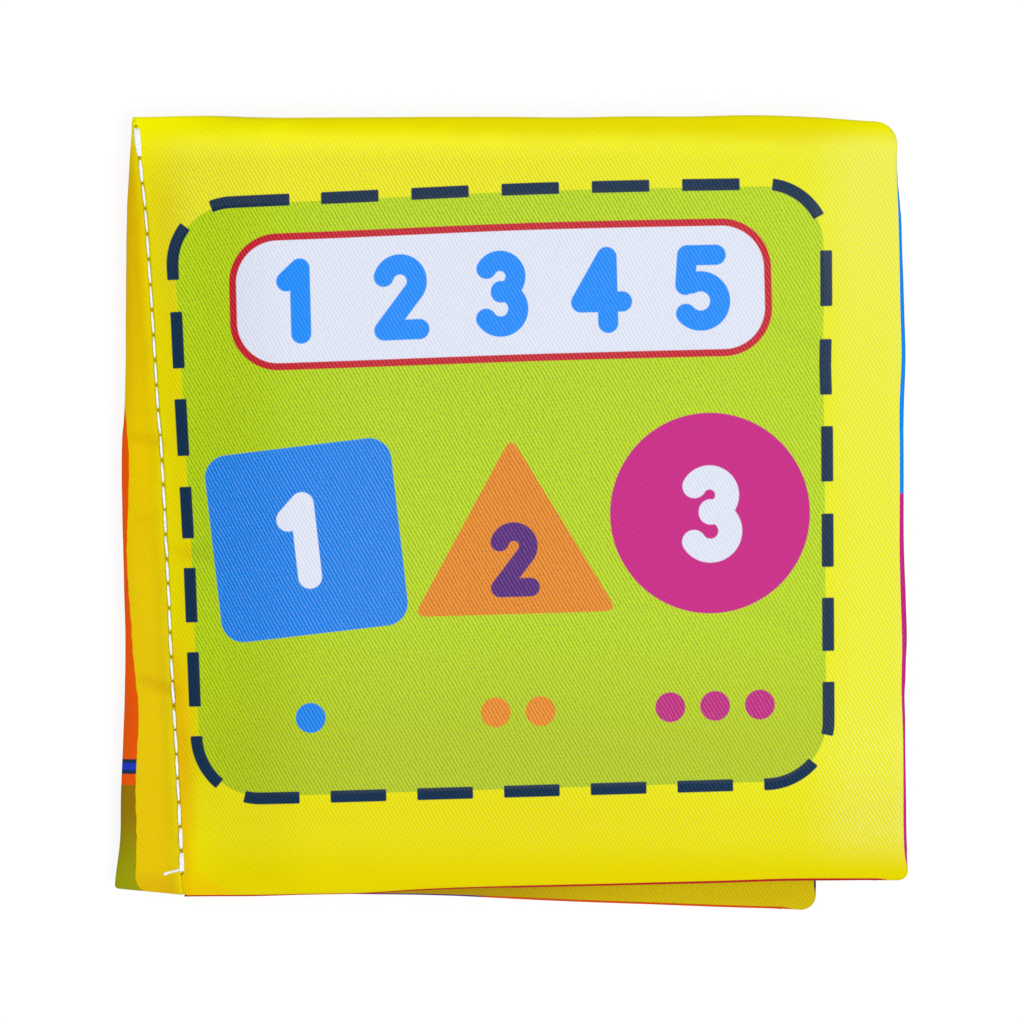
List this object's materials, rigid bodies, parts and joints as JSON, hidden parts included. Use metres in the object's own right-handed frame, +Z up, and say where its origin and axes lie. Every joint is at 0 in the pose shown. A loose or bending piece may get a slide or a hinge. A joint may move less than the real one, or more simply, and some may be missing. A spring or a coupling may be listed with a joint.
{
  "type": "crinkle cloth book",
  "caption": "Small square padded cloth book with crinkle film inside its leaves, folded and sewn together along the spine.",
  "frame": {"origin": "middle of the closed book's footprint, on the surface that it lies on", "axes": "+X from the spine to the fore edge, +Y to the head of the book, +Z up out of the front cover"},
  "size_m": [0.1058, 0.106, 0.0141],
  "materials": {
    "cover_print": "printed cotton twill, matt, with a fine diagonal rib",
    "page_2_print": "printed cotton twill, matt, with a fine diagonal rib",
    "page_3_print": "printed cotton twill, matt, with a fine diagonal rib",
    "page_4_print": "printed cotton twill, matt, with a fine diagonal rib",
    "page_5_print": "printed cotton twill, matt, with a fine diagonal rib",
    "page_6_print": "printed cotton twill, matt, with a fine diagonal rib",
    "page_7_print": "printed cotton twill, matt, with a fine diagonal rib",
    "back_print": "printed cotton twill, matt, with a fine diagonal rib",
    "batting": "loose white polyester batting",
    "crinkle_film": "thin crackly clear film",
    "sewing_thread": "twisted white polyester thread"
  },
  "bodies": {
    "back_leaf": {"back_cover_upper_cloth": "page_7_print", "back_cover_crinkle_film": "crinkle_film", "back_cover_batting": "batting", "back_cover_lower_cloth": "back_print", "back_cover_seam_thread": "sewing_thread", "spine_fold_cloth": "cover_print", "spine_fold_batting": "batting", "needle_thread_row": "sewing_thread", "bobbin_thread_row": "sewing_thread", "thread_tail": "sewing_thread"},
    "leaf_3": {"leaf_3_upper_cloth": "page_5_print", "leaf_3_crinkle_film": "crinkle_film", "leaf_3_batting": "batting", "leaf_3_lower_cloth": "page_6_print", "leaf_3_seam_thread": "sewing_thread"},
    "leaf_2": {"leaf_2_upper_cloth": "page_3_print", "leaf_2_crinkle_film": "crinkle_film", "leaf_2_batting": "batting", "leaf_2_lower_cloth": "page_4_print", "leaf_2_seam_thread": "sewing_thread"},
    "front_leaf": {"front_cover_upper_cloth": "cover_print", "front_cover_crinkle_film": "crinkle_film", "front_cover_batting": "batting", "front_cover_lower_cloth": "page_2_print", "front_cover_seam_thread": "sewing_thread"}
  },
  "joints": [
    {"name": "leaf_3_opening", "type": "hinge", "parent": "back_leaf", "child": "leaf_3", "pos_m": [-0.04972, 0.05207, 0.0094], "axis": [0.0572, -0.9984, 0], "range_deg": [0, 45]},
    {"name": "leaf_2_opening", "type": "hinge", "parent": "leaf_3", "child": "leaf_2", "pos_m": [-0.04972, 0.05207, 0.0094], "axis": [0.0572, -0.9984, 0], "range_deg": [0, 45]},
    {"name": "front_cover_opening", "type": "hinge", "parent": "leaf_2", "child": "front_leaf", "pos_m": [-0.04972, 0.05207, 0.0094], "axis": [0.0572, -0.9984, 0], "range_deg": [0, 92]}
  ]
}
